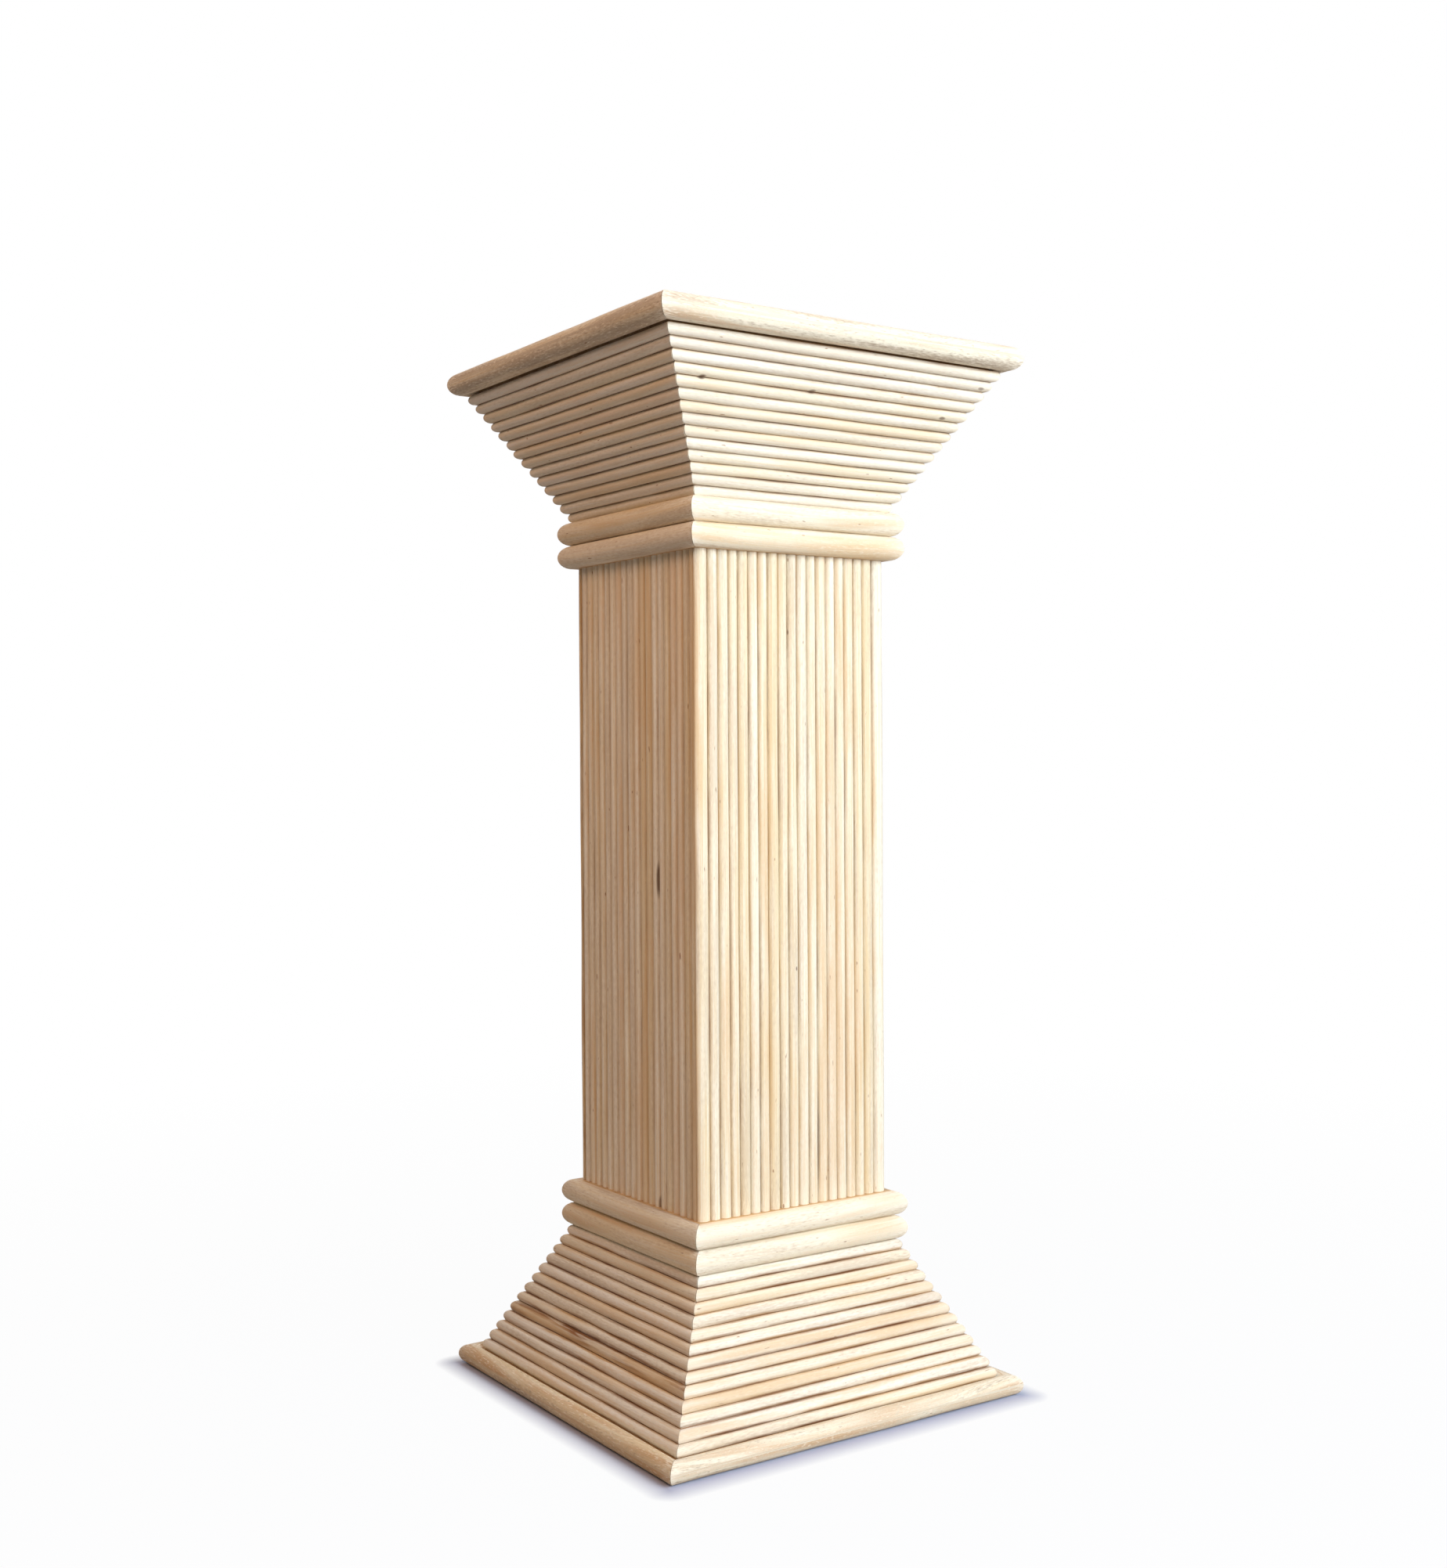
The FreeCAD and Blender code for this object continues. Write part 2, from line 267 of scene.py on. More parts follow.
def blend(tree, factor, first, second):
    """Mix of two colours."""
    colours = {0: factor, 6: first, 7: second}
    return add_node(tree, "Mix", colours, data_type="RGBA").outputs[2]


# Limed rattan core: pale flesh with straw streaks along the grain, patches of amber and
# grey, short dark pores, lime in some of them, a few brown specks, and stain left in the
# joints and at the mitred ends, mixed with painted shade over the edges beside the joints
COLOURS = ("Pale", "Straw", "Amber", "Grey", "Brown", "Lime")
AMOUNTS = ("Streaks", "Patches", "Flecks", "Specks", "Joint and shade", "Wear")

# Noises of the grain: metres along it, metres across it and detail
STREAK = (0.11, 0.0011, 3.0)
BROAD = (0.06, 0.006, 2.0)
PATCH = (0.16, 0.011, 3.0)
JOINT_PATCHES = (0.045, 0.004, 3.0)
PORE = (0.006, 0.00028, 1.0)
FLECK = (0.0050, 0.0012, 4.0)
SPECK = (0.010, 0.0022, 1.0)

# Ranges over which a mask opens, each followed by what it opens to where that isn't 0 to 1
AMBER_RANGE = (0.50, 0.68)
GREY_RANGE = (0.50, 0.32)
PORE_RANGE = (0.60, 0.78, 0.0, 0.22)
LIME_RANGE = (0.54, 0.66)
STALE_RANGE = (0.44, 0.32)
SPECK_RANGE = (0.745, 0.80)
JOINT_RANGE = (0.48, 1.0)
JOINT_PATCHES_RANGE = (0.42, 0.62, 0.35, 1.5)
STAIN_AND_SHADE_RANGE = (0.40, 0.62)
WEAR_RANGE = (0.38, 0.62)

# Shares that the noises and the random numbers of a bar have in its colour
TONE_SHARE = 0.45
BROAD_SHARE = 1.3
BROAD_DROP = -0.22
BLUSH_SHARE = 0.13
MOTTLE_SHARE = 0.35
STALE_SHARE = 0.35

# Roughness of the bare flesh, what pores and streaks add to it, and what each noise adds
# to the height
CORE_ROUGHNESS = 0.48
PORE_ROUGHNESS = 0.22
STREAK_ROUGHNESS = 0.12
STREAK_HEIGHT = 0.7
PORE_HEIGHT = -0.5
FLECK_HEIGHT = 0.4

cane, cane_in, cane_out = new_group(
    "limed_core",
    {"Grain": "Vector", "Tone": "Float", "Blush": "Float", "Edge": "Float", "Tip": "Float"}
    | dict.fromkeys(COLOURS, "Color") | dict.fromkeys(AMOUNTS, "Float"),
    {"Color": "Color", "Roughness": "Float", "Height": "Float"},
)
takes = cane_in.outputs
streak = grained(cane, takes["Grain"], *STREAK)
broad = grained(cane, takes["Grain"], *BROAD)
patch = grained(cane, takes["Grain"], *PATCH)
joint_patches = grained(cane, takes["Grain"], *JOINT_PATCHES)
pore = grained(cane, takes["Grain"], *PORE)
fleck = grained(cane, takes["Grain"], *FLECK)
speck = grained(cane, takes["Grain"], *SPECK)

# Pale flesh to straw
broadly = maths(cane, "MULTIPLY_ADD", broad, BROAD_SHARE, BROAD_DROP)
toned = maths(cane, "MULTIPLY_ADD", takes["Tone"], TONE_SHARE, broadly)
streaky = maths(cane, "MULTIPLY", maths(cane, "SUBTRACT", streak, 0.5), takes["Streaks"])
strawy = ramped(cane, maths(cane, "ADD", toned, streaky), 0.0, 1.0)
flesh = blend(cane, strawy, takes["Pale"], takes["Straw"])

# Amber and grey patches, one or the other stronger in each piece
leaning = maths(cane, "MULTIPLY_ADD", takes["Blush"], BLUSH_SHARE, patch)
mottle = maths(cane, "SUBTRACT", fleck, 0.5)
mottled = maths(cane, "MULTIPLY_ADD", mottle, MOTTLE_SHARE, leaning)
amber = maths(cane, "MULTIPLY", ramped(cane, mottled, *AMBER_RANGE), takes["Patches"])
grey = maths(cane, "MULTIPLY", ramped(cane, mottled, *GREY_RANGE), takes["Patches"])
flesh = blend(cane, amber, flesh, takes["Amber"])
flesh = blend(cane, grey, flesh, takes["Grey"])

# Dark pores, limed flecks and brown specks
flesh = blend(cane, ramped(cane, pore, *PORE_RANGE), flesh, takes["Brown"])
limed = maths(cane, "MULTIPLY", ramped(cane, fleck, *LIME_RANGE), takes["Flecks"])
flesh = blend(cane, limed, flesh, takes["Lime"])
stale = maths(cane, "MULTIPLY", ramped(cane, fleck, *STALE_RANGE), takes["Flecks"])
flesh = blend(cane, maths(cane, "MULTIPLY", stale, STALE_SHARE), flesh, takes["Brown"])
speckled = maths(cane, "MULTIPLY", ramped(cane, speck, *SPECK_RANGE), takes["Specks"])
flesh = blend(cane, speckled, flesh, takes["Brown"])

# Stain in the joints, mixed with painted shade over the edges beside them, and lime or
# wear at the mitres
joint_stain_and_shade = maths(cane, "MULTIPLY", ramped(cane, takes["Edge"], *JOINT_RANGE), takes["Joint and shade"])
joint_stain_and_shade = maths(cane, "MULTIPLY", joint_stain_and_shade, ramped(cane, joint_patches, *JOINT_PATCHES_RANGE))
stain_and_shade_colour = blend(cane, ramped(cane, patch, *STAIN_AND_SHADE_RANGE), takes["Brown"], takes["Amber"])
flesh = blend(cane, ramped(cane, joint_stain_and_shade, 0.0, 1.0), flesh, stain_and_shade_colour)
worn = maths(cane, "MULTIPLY", takes["Tip"], ramped(cane, fleck, *WEAR_RANGE))
flesh = blend(cane, maths(cane, "MULTIPLY", worn, takes["Wear"]), flesh, takes["Lime"])
cane.links.new(flesh, cane_out.inputs["Color"])
rough = maths(cane, "MULTIPLY_ADD", pore, PORE_ROUGHNESS, CORE_ROUGHNESS)
rough = maths(cane, "MULTIPLY_ADD", streak, STREAK_ROUGHNESS, rough)
cane.links.new(rough, cane_out.inputs["Roughness"])
relief = maths(cane, "MULTIPLY", pore, PORE_HEIGHT)
relief = maths(cane, "MULTIPLY_ADD", streak, STREAK_HEIGHT, relief)
cane.links.new(maths(cane, "MULTIPLY_ADD", fleck, FLECK_HEIGHT, relief), cane_out.inputs["Height"])

GRAIN_RELIEF = 0.5
RELIEF_DEPTH = 0.0002
CORE_SHEEN = 0.2


def core_material(name, colours, amounts, relief=GRAIN_RELIEF):
    """Finish of one kind of rattan piece: its six colours, how much it has of each effect
    and the strength of its grain to the touch."""
    material = bpy.data.materials.new(name)
    material.use_nodes = True
    tree = material.node_tree
    shader = tree.nodes["Principled BSDF"]
    finish = tree.nodes.new("ShaderNodeGroup")
    finish.node_tree = cane
    tree.links.new(add_node(tree, "UVMap", uv_map="grain").outputs[0], finish.inputs["Grain"])
    for label in ("tone", "blush", "edge", "tip"):
        attribute = add_node(tree, "Attribute", attribute_name=label)
        tree.links.new(attribute.outputs["Fac"], finish.inputs[label.capitalize()])
    for label, colour in colours.items():
        finish.inputs[label].default_value = linear(colour)
    for label, amount in amounts.items():
        finish.inputs[label].default_value = amount
    touch = {"Height": finish.outputs["Height"], "Strength": relief, "Distance": RELIEF_DEPTH}
    bump = add_node(tree, "Bump", touch)
    tree.links.new(finish.outputs["Color"], shader.inputs["Base Color"])
    tree.links.new(finish.outputs["Roughness"], shader.inputs["Roughness"])
    tree.links.new(bump.outputs[0], shader.inputs["Normal"])
    shader.inputs["Specular IOR Level"].default_value = CORE_SHEEN
    return material


REED_COLOURS = {
    "Pale": (249, 248, 236), "Straw": (236, 223, 190), "Amber": (223, 187, 136),
    "Grey": (214, 204, 188), "Brown": (150, 106, 70), "Lime": (254, 252, 244),
}
REED_AMOUNTS = {
    "Streaks": 2.4, "Patches": 0.45, "Flecks": 0.15, "Specks": 0.8, "Joint and shade": 0.4, "Wear": 0.25,
}
reed_finish = core_material("limed_split_reed", REED_COLOURS, REED_AMOUNTS)

# Dark knots on the front, and painted shade in three open joints, as a place, a half size
# and how much of the finish they hide. Each is full to half its size and fades from there.
SPOT_FADE = (0.5, 1.0)
KNOTS_AND_GAP_SHADE = (
    ((0.0012, -0.0820, 0.315), (0.0009, 0.003, 0.0020), 0.8),
    ((-0.0041, -0.0820, 0.554), (0.0008, 0.003, 0.0030), 0.8),
    ((0.0453, -0.0820, 0.605), (0.0008, 0.003, 0.0022), 0.8),
    ((0.0370, -0.0820, 0.429), (0.0007, 0.003, 0.0024), 0.6),
    # Painted shade down the three open joints
    ((0.0213, -0.0800, 0.190), (0.0012, 0.008, 0.0400), 0.4),
    ((-0.0800, -0.0285, 0.379), (0.008, 0.0018, 0.0150), 0.8),
    ((-0.0800, -0.0285, 0.148), (0.008, 0.0016, 0.0070), 0.6),
)
KNOT_AND_SHADE_BROWN = (96, 66, 44)


def add_knots_and_shade(material, knots):
    """Darken the finish inside each knot or patch of painted shade, an ellipsoid in the stand's frame.
    """
    tree = material.node_tree
    here = add_node(tree, "TexCoord").outputs["Object"]
    darkened = 0.0
    for place, half_size, strength in knots:
        inverse = [1 / part for part in half_size]
        offset = add_node(tree, "VectorMath", {0: here, 1: place}, operation="SUBTRACT").outputs[0]
        offset = add_node(tree, "VectorMath", {0: offset, 1: inverse}, operation="MULTIPLY").outputs[0]
        reach = add_node(tree, "VectorMath", {0: offset}, operation="LENGTH").outputs["Value"]
        darkened = maths(tree, "ADD", ramped(tree, reach, *SPOT_FADE, strength, 0.0), darkened)
    colour = tree.nodes["Principled BSDF"].inputs["Base Color"]
    tree.links.new(blend(tree, darkened, colour.links[0].from_socket, linear(KNOT_AND_SHADE_BROWN)), colour)


add_knots_and_shade(reed_finish, KNOTS_AND_GAP_SHADE)
box_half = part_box("box_front")[1].x
reed_crown = -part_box("shaft_reeds_front")[0].y
reed_thickness = reed_crown - box_half
shaft_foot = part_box("shaft_reeds_front")[0].z
shaft_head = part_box("shaft_reeds_front")[1].z


def grown(random, start, end, steps):
    """Arrays of the start, end and thickness of each reed at each step along it. The two
    edges bow together and draw in by a share of the width, and the thickness is the full
    one less a share that differs from reed to reed, plus waves along it."""
    count = len(start)
    bow = slow_waves(random, count, steps, REED_BOW)
    narrow = REED_SHRINK / 2 + slow_waves(random, count, steps, REED_SHRINK / 2)
    shrink = (end - start)[:, None] * narrow
    thin = 1 - random.uniform(0, REED_THIN, (count, 1)) - REED_THIN / 2
    thickness = reed_thickness * (thin + slow_waves(random, count, steps, REED_THIN / 2))
    return start[:, None] + bow + shrink, end[:, None] + bow - shrink, thickness


def shaft_row(random, start, end, partings):
    """Points of upright reeds, grown inside the joints that their row leaves them. A
    parting narrows the two reeds beside its joint by a bell curve of the height."""
    start, end, thickness = grown(random, start, end, SHAFT_STEPS)
    level = np.linspace(shaft_foot, shaft_head, SHAFT_STEPS)
    for place, height, reach, width in partings:
        joint = np.abs(end[:-1, 0] - place).argmin()
        bell = width / 2 * np.exp(-((level - height) / reach) ** 2)
        end[joint] -= bell
        start[joint + 1] += bell
    across, out, edge = split_section(random, start, end, thickness)
    return np.stack((across, -(box_half + out), level[None, :, None] + 0 * across), -1), edge


field_half = reed_crown - CORNER_REED_WIDTH
field = reed_places(-field_half, field_half)
lapping_start = np.concatenate(([-reed_crown], field[0], [field_half + REED_GAP / 2]))
lapping_end = np.concatenate(([-field_half - REED_GAP / 2], field[1], [reed_crown]))
for number, side in enumerate(SIDES):
    random = np.random.default_rng(SHAFT_SEED + number)
    if side in ("front", "back"):
        start, end = lapping_start, lapping_end
    else:
        start, end = reed_places(-box_half, box_half)
    points, edge = shaft_row(random, start, end, PARTINGS.get(side, ()))
    reeds = bars("upright_reeds_" + side, turned(points, side), edge, random, reed_finish)
    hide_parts("shaft_reeds_" + side)


# Slope reeds --------------------------------------------------------------------------
# Level lengths of the same split reed on the four flared sides of the capital and of the
# base. They are mitred at the corners, and the first and last are planed to the slope.
# The joints of the base hold more stain and painted shade.

SLOPE_STEPS = 13
CAPITAL_LIP = 0.0028
BASE_LIP = 0.006
SLOPE_SEEDS = {"capital": 200, "base": 210}
SLOPE_COLOURS = REED_COLOURS | {
    "Pale": (251, 250, 243), "Straw": (242, 235, 214), "Amber": (226, 198, 156),
}
CAPITAL_AMOUNTS = {
    "Streaks": 2.2, "Patches": 0.4, "Flecks": 0.2, "Specks": 0.8, "Joint and shade": 0.55, "Wear": 0.3,
}
BASE_AMOUNTS = {
    "Streaks": 2.4, "Patches": 0.6, "Flecks": 0.2, "Specks": 0.8, "Joint and shade": 0.95, "Wear": 0.3,
}

# Small knots on the front of the capital, given as those of the shaft are
CAPITAL_KNOTS = (
    ((-0.1057, -0.1270, 0.7150), (0.0036, 0.006, 0.0017), 0.8),
    ((-0.0156, -0.1270, 0.7150), (0.0036, 0.006, 0.0016), 0.6),
    ((0.1029, -0.1246, 0.7091), (0.0034, 0.004, 0.0012), 0.7),
    ((0.1285, -0.1380, 0.7309), (0.0034, 0.004, 0.0012), 0.6),
)

# Least gap at a mitre, and how much more some have
MITRE_GAP = 0.0001
MITRE_PLAY = 0.0003

# One reed of the base is stained right across, and those beside it a little: its slope,
# its side and its number from the neck
STAINED_REED = ("base", "left", 8)
STAIN_DEPTH = 0.66

slope_finishes = {
    "capital": core_material("limed_capital_reed", SLOPE_COLOURS, CAPITAL_AMOUNTS),
    "base": core_material("limed_base_reed", SLOPE_COLOURS, BASE_AMOUNTS),
}
add_knots_and_shade(slope_finishes["capital"], CAPITAL_KNOTS)


def mitred(random, half, steps):
    """x of each point of level bars, from one mitre to the other. At a mitre x meets the
    point's half width, less a gap that differs from end to end."""
    short = MITRE_GAP + random.uniform(0, MITRE_PLAY, (2, len(half), 1, 1))
    start = short[0] - half
    end = half - short[1]
    return start + (end - start) * np.linspace(0, 1, steps)[None, :, None]


def slope_row(random, narrow, wide):
    """Points of level reeds along a slope, from its narrow edge to its wide one, both
    given as (half width, height). A reed's ends are where x meets the half width of each
    point of its section, which is the mitre."""
    (half0, z0), (half1, z1) = narrow, wide
    length = math.hypot(half1 - half0, z1 - z0)
    run_half = (half1 - half0) / length
    run_z = (z1 - z0) / length
    side = 1 if run_z < 0 else -1
    start, end, thickness = grown(random, *reed_places(0, length), SLOPE_STEPS)
    along, out, edge = split_section(random, start, end, thickness)
    half = half0 + run_half * along - side * run_z * out
    height = np.clip(z0 + run_z * along + side * run_half * out, min(z0, z1), max(z0, z1))
    if run_z > 0:
        half = half[..., ::-1]
        height = height[..., ::-1]
        edge = edge[..., ::-1]
    return np.stack((mitred(random, half, SLOPE_STEPS), -half, height), -1), edge


capital_low, capital_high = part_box("capital_slope_front")
base_low, base_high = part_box("base_slope_front")
slopes = {
    "capital": ((box_half + CAPITAL_LIP, capital_low.z), (capital_high.x, capital_high.z)),
    "base": ((box_half + BASE_LIP, base_high.z), (base_high.x, base_low.z)),
}
for slope, (narrow, wide) in slopes.items():
    for number, side in enumerate(SIDES):
        random = np.random.default_rng(SLOPE_SEEDS[slope] + number)
        points, edge = slope_row(random, narrow, wide)
        if (slope, side) == STAINED_REED[:2]:
            away = np.arange(len(edge)) - STAINED_REED[2]
            edge = edge + STAIN_DEPTH * np.exp(-away ** 2)[:, None, None]
        name = "level_reeds_" + slope + "_" + side
        reeds = bars(name, turned(points, side), edge, random, slope_finishes[slope])
        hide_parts(slope + "_reeds_" + side)


# Bands --------------------------------------------------------------------------------
# Half-round rattan bands, two round the neck and two round the foot. Each is four pieces,
# mitred at the corners and pinned through the collar behind them.

BAND_STEPS = 21
BAND_ROUND = 15
BAND_WAVE = 0.0002
BAND_SEEDS = {"neck_band_1": 310, "neck_band_2": 320, "foot_band_1": 350, "foot_band_2": 360}
BAND_COLOURS = REED_COLOURS | {"Pale": (250, 247, 233), "Straw": (237, 223, 191)}
BAND_AMOUNTS = {
    "Streaks": 1.7, "Patches": 0.5, "Flecks": 0.4, "Specks": 0.8, "Joint and shade": 0.4, "Wear": 0.6,
}

band_finish = core_material("limed_half_round", BAND_COLOURS, BAND_AMOUNTS)


def band_points(random, back, nose, low, high):
    """Points of a band, as one bar. Its section is half an ellipse from the top of its
    flat back, over the nose, to the bottom, and it waves a little along its length."""
    turn = np.linspace(0, np.pi, BAND_ROUND)[None, None, :]
    wave = slow_waves(random, 1, BAND_STEPS, BAND_WAVE)[..., None]
    half = back + (nose - back - BAND_WAVE + wave) * np.sin(turn)
    height = (low + high) / 2 + (high - low) / 2 * np.cos(turn) + 0 * half
    # edge is 1 at the top and bottom, where stain and painted shade darken the band beside the collar
    edge = np.abs(np.linspace(-1, 1, BAND_ROUND)) + 0 * half
    return np.stack((mitred(random, half, BAND_STEPS), -half, height), -1), edge


for ring, first_seed in BAND_SEEDS.items():
    low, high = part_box(ring + "_front")
    for number, side in enumerate(SIDES):
        random = np.random.default_rng(first_seed + number)
        points, edge = band_points(random, -high.y, -low.y, low.z, high.z)
        name = "half_round_" + ring + "_" + side
        band = bars(name, turned(points, side), edge, random, band_finish)
        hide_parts(ring + "_" + side)


# Edge poles ---------------------------------------------------------------------------
# Whole rattan poles round the edge of the top and of the base, mitred at the corners and
# pinned to the boards. Their open pores are filled with liming paste, and their undersides
# are darkened with painted shade.

POLE_STEPS = 29
POLE_ROUND = 28
POLE_WAVE = 0.0002
POLE_RELIEF = 0.8
POLE_SEEDS = {"top_pole": 520, "base_pole": 410}
POLE_COLOURS = {
    "Pale": (247, 246, 232), "Straw": (229, 213, 180), "Amber": (206, 168, 124),
    "Grey": (196, 184, 168), "Brown": (138, 106, 78), "Lime": (254, 250, 238),
}
# On a pole the joint amount paints shade along its underside
POLE_AMOUNTS = {
    "Streaks": 1.6, "Patches": 0.75, "Flecks": 0.7, "Specks": 0.9, "Joint and shade": 0.25, "Wear": 1.0,
}

pole_finish = core_material("limed_pole", POLE_COLOURS, POLE_AMOUNTS, POLE_RELIEF)


def pole_points(random, nose, low, high):
    """Points of a round pole, as one bar: a circle that just touches the nose plane and
    both levels, its radius waving a little inside them. edge is 1 along its underside, where
    the finish paints shade."""
    radius = (high - low) / 2
    turn = np.linspace(0, 2 * np.pi, POLE_ROUND, endpoint=False)[None, None, :]
    wave = slow_waves(random, 1, POLE_STEPS, POLE_WAVE)[..., None]
    reach = radius - POLE_WAVE + wave
    half = nose - radius + reach * np.cos(turn)
    height = (low + high) / 2 - reach * np.sin(turn)
    edge = np.clip(np.sin(turn), 0, 1) + 0 * half
    return np.stack((mitred(random, half, POLE_STEPS), -half, height), -1), edge


for rim, first_seed in POLE_SEEDS.items():
    low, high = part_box(rim + "_front")
    for number, side in enumerate(SIDES):
        random = np.random.default_rng(first_seed + number)
        points, edge = pole_points(random, -low.y, low.z, high.z)
        name = "round_" + rim + "_" + side
        pole = bars(name, turned(points, side), edge, random, pole_finish)
        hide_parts(rim + "_" + side)


# Plywood box and slopes ---------------------------------------------------------------
# Thin plywood boards that carry the reeds: four make the hollow column, and eight flare
# out under the capital and the base. Stain has run down the joints on to them.

PLY_PALE = (160, 120, 82)
PLY_DARK = (118, 82, 54)
PLY_RING = 0.011
PLY_PORES = 0.4

# Noises of sawn timber, as metres along the grain, metres across it and detail: the sway
# of its rings, its fine fibres and its open pores
RING_SWAY = (0.22, 0.03, 2.0)
FIBRE = (0.04, 0.0006, 2.0)
OPEN_PORE = (0.009, 0.00035, 1.0)

# How far the rings sway in metres, the shares of fibre and ring in the dark colour, the
# ranges over which the dark and the pores open, and what they do to gloss and height
SWAY_DEPTH = 0.03
FIBRE_SHARE = 0.9
RING_SHARE = 0.5
RING_DROP = -0.35
DARK_RANGE = (0.0, 0.8)
OPEN_PORE_RANGE = (0.58, 0.72)
TIMBER_ROUGHNESS = 0.42
FIBRE_ROUGHNESS = 0.25
OPEN_PORE_HEIGHT = 0.8
TIMBER_RELIEF = 0.4

timber, timber_in, timber_out = new_group(
    "timber_grain",
    {"Grain": "Vector", "Pale": "Color", "Dark": "Color", "Ring width": "Float", "Pores": "Float"},
    {"Color": "Color", "Roughness": "Float", "Height": "Float"},
)
takes = timber_in.outputs
sway = grained(timber, takes["Grain"], *RING_SWAY)
place = add_node(timber, "SeparateXYZ", {0: takes["Grain"]}).outputs
swayed = maths(timber, "MULTIPLY_ADD", sway, SWAY_DEPTH, place[1])
ring = maths(timber, "PINGPONG", maths(timber, "DIVIDE", swayed, takes["Ring width"]), 1.0)
fibre = grained(timber, takes["Grain"], *FIBRE)
pore = grained(timber, takes["Grain"], *OPEN_PORE)
late = maths(timber, "MULTIPLY_ADD", ring, RING_SHARE, RING_DROP)
late = maths(timber, "MULTIPLY_ADD", fibre, FIBRE_SHARE, late)
grain_colour = blend(timber, ramped(timber, late, *DARK_RANGE), takes["Pale"], takes["Dark"])
open_pore = maths(timber, "MULTIPLY", ramped(timber, pore, *OPEN_PORE_RANGE), takes["Pores"])
grain_colour = blend(timber, open_pore, grain_colour, takes["Dark"])
timber.links.new(grain_colour, timber_out.inputs["Color"])
rough = maths(timber, "MULTIPLY_ADD", fibre, FIBRE_ROUGHNESS, TIMBER_ROUGHNESS)
timber.links.new(rough, timber_out.inputs["Roughness"])
sunk = maths(timber, "MULTIPLY", open_pore, OPEN_PORE_HEIGHT)
timber.links.new(maths(timber, "SUBTRACT", fibre, sunk), timber_out.inputs["Height"])


def timber_material(name, pale, dark, ring_width, pores, turn):
    """Finish of a wooden board whose grain runs along X once it is turned by that angle."""
    material = bpy.data.materials.new(name)
    material.use_nodes = True
    tree = material.node_tree
    shader = tree.nodes["Principled BSDF"]
    place = add_node(tree, "TexCoord").outputs["Object"]
    grain = add_node(tree, "Mapping", {"Vector": place, "Rotation": turn}).outputs[0]
    finish = tree.nodes.new("ShaderNodeGroup")
    finish.node_tree = timber
    tree.links.new(grain, finish.inputs["Grain"])
    finish.inputs["Pale"].default_value = linear(pale)
    finish.inputs["Dark"].default_value = linear(dark)
    finish.inputs["Ring width"].default_value = ring_width
    finish.inputs["Pores"].default_value = pores
    height = finish.outputs["Height"]
    touch = {"Height": height, "Strength": TIMBER_RELIEF, "Distance": RELIEF_DEPTH}
    bump = add_node(tree, "Bump", touch)
    tree.links.new(finish.outputs["Color"], shader.inputs["Base Color"])
    tree.links.new(finish.outputs["Roughness"], shader.inputs["Roughness"])
    tree.links.new(bump.outputs[0], shader.inputs["Normal"])
    return material


def dress(node, material):
    """Give a carried-over solid its finish."""
    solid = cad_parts[node].data
    solid.materials.clear()
    solid.materials.append(material)


UPRIGHT = (0.0, math.radians(90), 0.0)
ply_finish = timber_material("stained_plywood", PLY_PALE, PLY_DARK, PLY_RING, PLY_PORES, UPRIGHT)
for side in SIDES:
    dress("box_" + side, ply_finish)
    dress("capital_slope_" + side, ply_finish)
    dress("base_slope_" + side, ply_finish)


# Boards, posts, battens and collars ---------------------------------------------------
# Softwood posts and battens that hold the box and the slopes together, the two square
# boards that close the column, and the flat collars behind the bands.

BOARD_PALE = (214, 184, 140)
BOARD_DARK = (176, 136, 92)
BOARD_RING = 0.009
BOARD_PORES = 0.5
POST_RING = 0.006
POST_PORES = 0.1

LEVEL = (0.0, 0.0, 0.0)
board_look = (BOARD_PALE, BOARD_DARK, BOARD_RING, BOARD_PORES, LEVEL)
post_look = (BOARD_PALE, BOARD_DARK, POST_RING, POST_PORES, UPRIGHT)
board_finish = timber_material("limed_board", *board_look)
board_nodes = (
    "base_board", "top_board", "capital_battens", "base_battens", "neck_collar", "foot_collar",
)
for node in board_nodes:
    dress(node, board_finish)
dress("corner_posts", timber_material("softwood_post", *post_look))


# Top veneer ---------------------------------------------------------------------------
# One sheet of open-grained veneer, glued over the top board between the poles and limed
# like the reeds.

VENEER_PALE = (243, 231, 204)
VENEER_DARK = (216, 192, 154)
VENEER_RING = 0.013
VENEER_PORES = 0.7

veneer_look = (VENEER_PALE, VENEER_DARK, VENEER_RING, VENEER_PORES, LEVEL)
dress("top_veneer", timber_material("limed_veneer", *veneer_look))


# Pins and screws ----------------------------------------------------------------------
# Plain steel pins through the bands and poles, and countersunk steel screws through the
# two boards into the corner posts, dulled by a little rust.

STEEL_BRIGHT = (176, 172, 166)
STEEL_DULL = (120, 98, 78)
RUST_SCALE = 900.0
RUST_DETAIL = 3.0
RUST_RANGE = (0.45, 0.7)
RUST_ROUGHNESS = (0.3, 0.7, 0.3, 0.6)

steel = bpy.data.materials.new("dulled_steel")
steel.use_nodes = True
steel_tree = steel.node_tree
steel_shader = steel_tree.nodes["Principled BSDF"]
steel_place = add_node(steel_tree, "TexCoord").outputs["Object"]
rust_look = {"Vector": steel_place, "Scale": RUST_SCALE, "Detail": RUST_DETAIL}
rust = add_node(steel_tree, "TexNoise", rust_look).outputs[0]
rusted = ramped(steel_tree, rust, *RUST_RANGE)
steel_colour = blend(steel_tree, rusted, linear(STEEL_BRIGHT), linear(STEEL_DULL))
steel_tree.links.new(steel_colour, steel_shader.inputs["Base Color"])
steel_rough = ramped(steel_tree, rust, *RUST_ROUGHNESS)
steel_tree.links.new(steel_rough, steel_shader.inputs["Roughness"])
steel_shader.inputs["Metallic"].default_value = 1.0
for node in ("band_pins", "top_pole_pins", "base_pole_pins", "board_screws"):
    dress(node, steel)


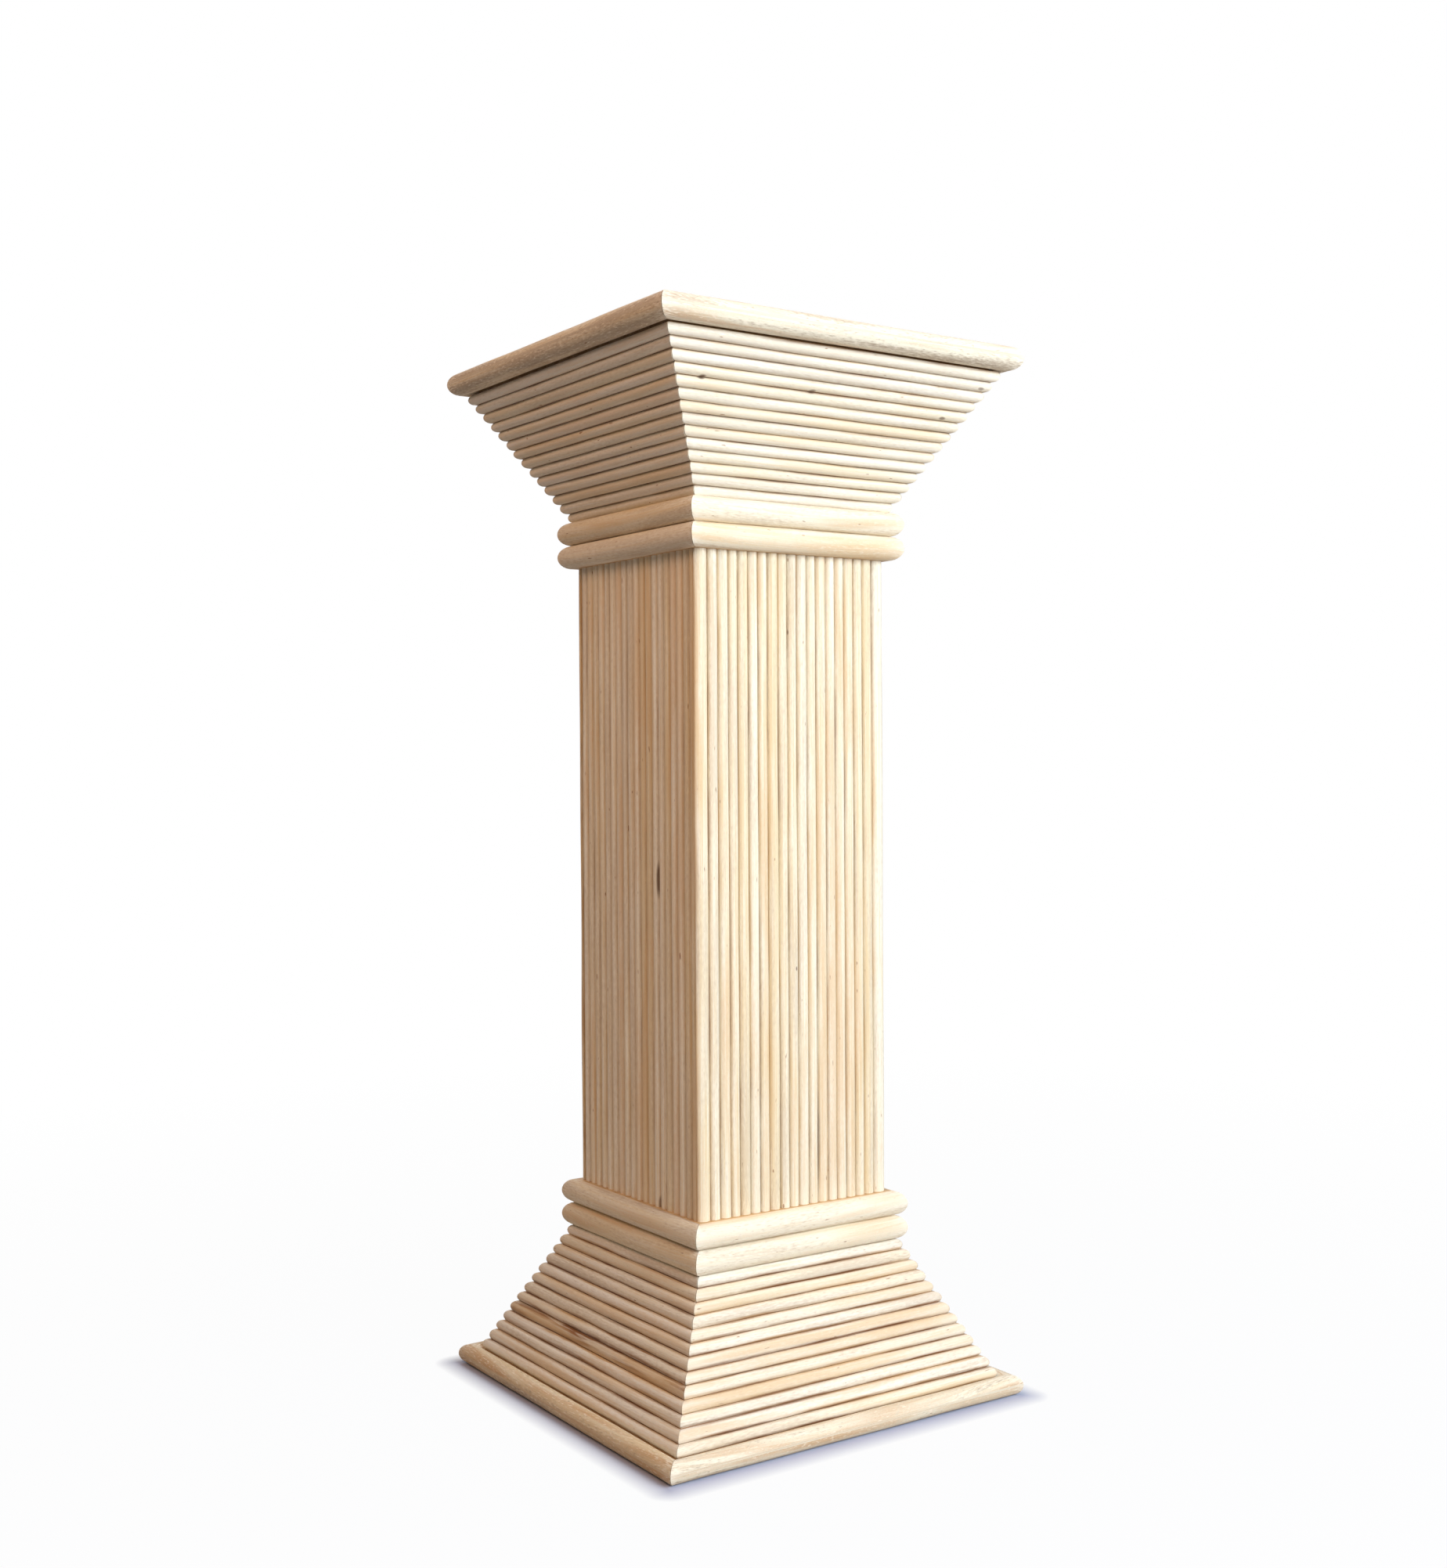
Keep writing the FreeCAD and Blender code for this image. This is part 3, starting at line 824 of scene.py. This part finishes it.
# Floor --------------------------------------------------------------------------------
# A plain pale floor. The camera sees it whiter away from the stand than beside it, so that
# it keeps the shadow near by and ends in the white background with no edge.

FLOOR_HALF = 4.0
FLOOR_WHITE = (190, 202, 234)
FLOOR_GLOW = (166, 154, 144)
FLOOR_ROUGHNESS = 0.9
WHITE = (1.0, 1.0, 1.0, 1.0)

# Share of plain white in the floor that the camera sees, at the edge of the base and a
# little way off, and how far off in metres that way and full white are
EDGE_WHITE = 0.0
NEAR_WHITE = 0.96
NEAR_REACH = 0.018
FAR_REACH = 1.3


def seen_plainly(tree):
    """1 for what the camera sees, itself, in a gloss or through glass, and 0 for light."""
    rays = add_node(tree, "LightPath").outputs
    direct = maths(tree, "MAXIMUM", rays["Is Camera Ray"], rays["Is Glossy Ray"])
    return maths(tree, "MAXIMUM", direct, rays["Is Transmission Ray"])


floor_mesh = bpy.data.meshes.new("floor")
corner_signs = ((-1, -1), (1, -1), (1, 1), (-1, 1))
floor_corners = [(FLOOR_HALF * x, FLOOR_HALF * y, 0) for x, y in corner_signs]
floor_mesh.from_pydata(floor_corners, [], [(0, 1, 2, 3)])
floor_paint = bpy.data.materials.new("pale_floor")
floor_paint.use_nodes = True
floor_tree = floor_paint.node_tree
floor_shader = floor_tree.nodes["Principled BSDF"]
floor_seen = seen_plainly(floor_tree)
floor_colour = blend(floor_tree, floor_seen, linear(FLOOR_GLOW), linear(FLOOR_WHITE))
floor_tree.links.new(floor_colour, floor_shader.inputs["Base Color"])
floor_shader.inputs["Roughness"].default_value = FLOOR_ROUGHNESS
white = add_node(floor_tree, "Emission", {"Color": WHITE, "Strength": 1.0})
floor_place = add_node(floor_tree, "TexCoord").outputs["Object"]
pole_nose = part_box("base_pole_right")[1].x
away = add_node(floor_tree, "VectorMath", {0: floor_place}, operation="ABSOLUTE").outputs[0]
for operation, step in (("SUBTRACT", (pole_nose, pole_nose, 0)), ("MAXIMUM", (0, 0, 0))):
    away = add_node(floor_tree, "VectorMath", {0: away, 1: step}, operation=operation).outputs[0]
away = add_node(floor_tree, "VectorMath", {0: away}, operation="LENGTH").outputs["Value"]
near = ramped(floor_tree, away, 0.0, NEAR_REACH, EDGE_WHITE, NEAR_WHITE)
far = ramped(floor_tree, away, NEAR_REACH, FAR_REACH, 0.0, 1 - NEAR_WHITE)
whitened = maths(floor_tree, "MULTIPLY", floor_seen, maths(floor_tree, "ADD", near, far))
floor_mix = {0: whitened, 1: floor_shader.outputs[0], 2: white.outputs[0]}
floor_look = add_node(floor_tree, "MixShader", floor_mix).outputs[0]
floor_tree.links.new(floor_look, floor_tree.nodes["Material Output"].inputs["Surface"])
floor_mesh.materials.append(floor_paint)
floor = bpy.data.objects.new("floor", floor_mesh)
bpy.context.scene.collection.objects.link(floor)


# Light --------------------------------------------------------------------------------
# One broad soft lamp faces the front, a weaker and warmer one stands high on the left, a
# third lights the back and right sides, and pale surroundings fill the rest.

LAMP_AIM = Vector((0, 0, 0.4))

# Bearing from the front and height in degrees, distance and size in metres, power in
# watts, and colour
LAMPS = {
    "window_lamp": (8, 21, 2.0, 1.4, 45.0, (0.98, 1.0, 1.0)),
    "fill_lamp": (-66, 45, 1.9, 1.0, 14.0, (1.0, 0.60, 0.38)),
    "back_lamp": (155, 35, 2.2, 1.4, 11.0, (1.0, 0.98, 0.95)),
}
ROOM_COLOUR = (1.0, 0.92, 0.82, 1.0)
ROOM_STRENGTH = 0.04
WALL_STRENGTH = 1.0


def soft_lamp(name, azimuth, elevation, distance, size, power, colour):
    """Square lamp at a bearing from the stand's front and a height above level, facing it."""
    bearing = math.radians(azimuth)
    rise = math.radians(elevation)
    level = math.cos(rise)
    outward = Vector((math.sin(bearing) * level, -math.cos(bearing) * level, math.sin(rise)))
    lamp = bpy.data.lights.new(name, "AREA")
    lamp.size = size
    lamp.energy = power
    lamp.color = colour
    holder = bpy.data.objects.new(name, lamp)
    place = Matrix.Translation(LAMP_AIM + outward * distance)
    holder.matrix_world = place @ outward.to_track_quat("Z", "Y").to_matrix().to_4x4()
    bpy.context.scene.collection.objects.link(holder)


for name, values in LAMPS.items():
    soft_lamp(name, *values)

world = bpy.data.worlds.new("pale_room")
world.use_nodes = True
world_tree = world.node_tree
room = world_tree.nodes["Background"]
room.inputs["Color"].default_value = ROOM_COLOUR
room.inputs["Strength"].default_value = ROOM_STRENGTH
wall = add_node(world_tree, "Background", {"Color": WHITE, "Strength": WALL_STRENGTH})
room_mix = {0: seen_plainly(world_tree), 1: room.outputs[0], 2: wall.outputs[0]}
room_look = add_node(world_tree, "MixShader", room_mix).outputs[0]
world_tree.links.new(room_look, world_tree.nodes["World Output"].inputs["Surface"])
bpy.context.scene.world = world
bpy.context.scene.view_settings.view_transform = "Standard"
